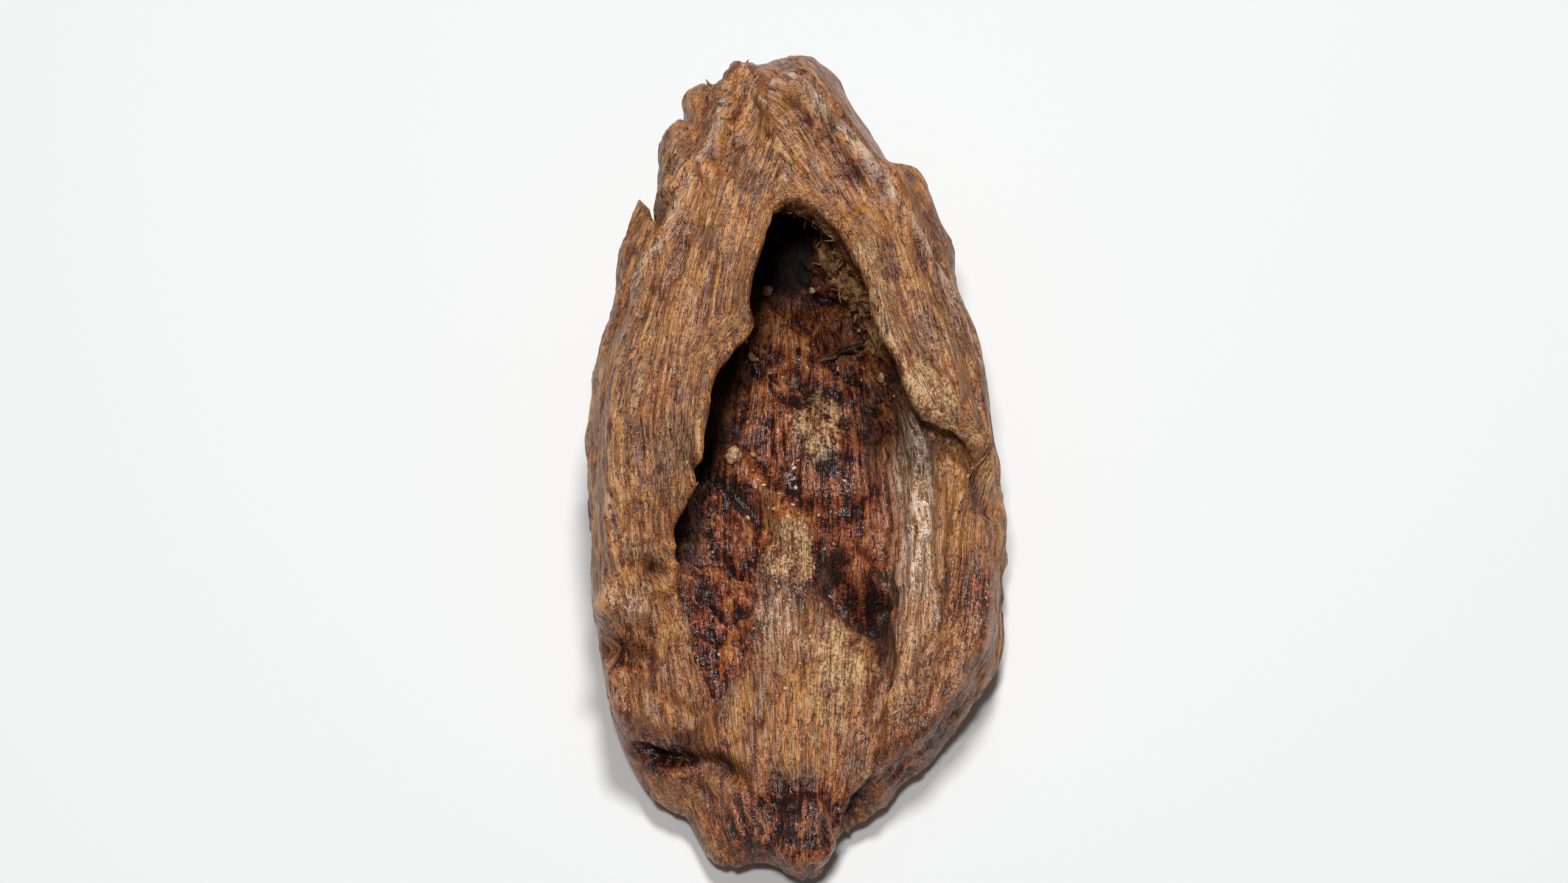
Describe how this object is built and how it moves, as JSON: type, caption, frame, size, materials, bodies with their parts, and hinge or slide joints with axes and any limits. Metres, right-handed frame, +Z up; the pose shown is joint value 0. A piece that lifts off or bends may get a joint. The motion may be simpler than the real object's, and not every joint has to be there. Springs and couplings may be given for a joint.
{
  "type": "piece of agarwood",
  "caption": "Natural piece of resinous wood shaped like a hollow shell: a hooded cavity at one end opens into a long trough with ribbed, torn walls.",
  "frame": {"origin": "centre of the bounding box seen from above, at the height of the surface the piece rests on", "axes": "+Y along the piece towards its hooded end, +Z up out of the hollow, +X to the right when looking towards the hood"},
  "size_m": [0.0392, 0.0834, 0.0265],
  "materials": {
    "resin_wood": "raw wood with an oily, slightly glossy resin"
  },
  "bodies": {
    "root": {"agarwood_shell": "resin_wood"}
  },
  "joints": []
}
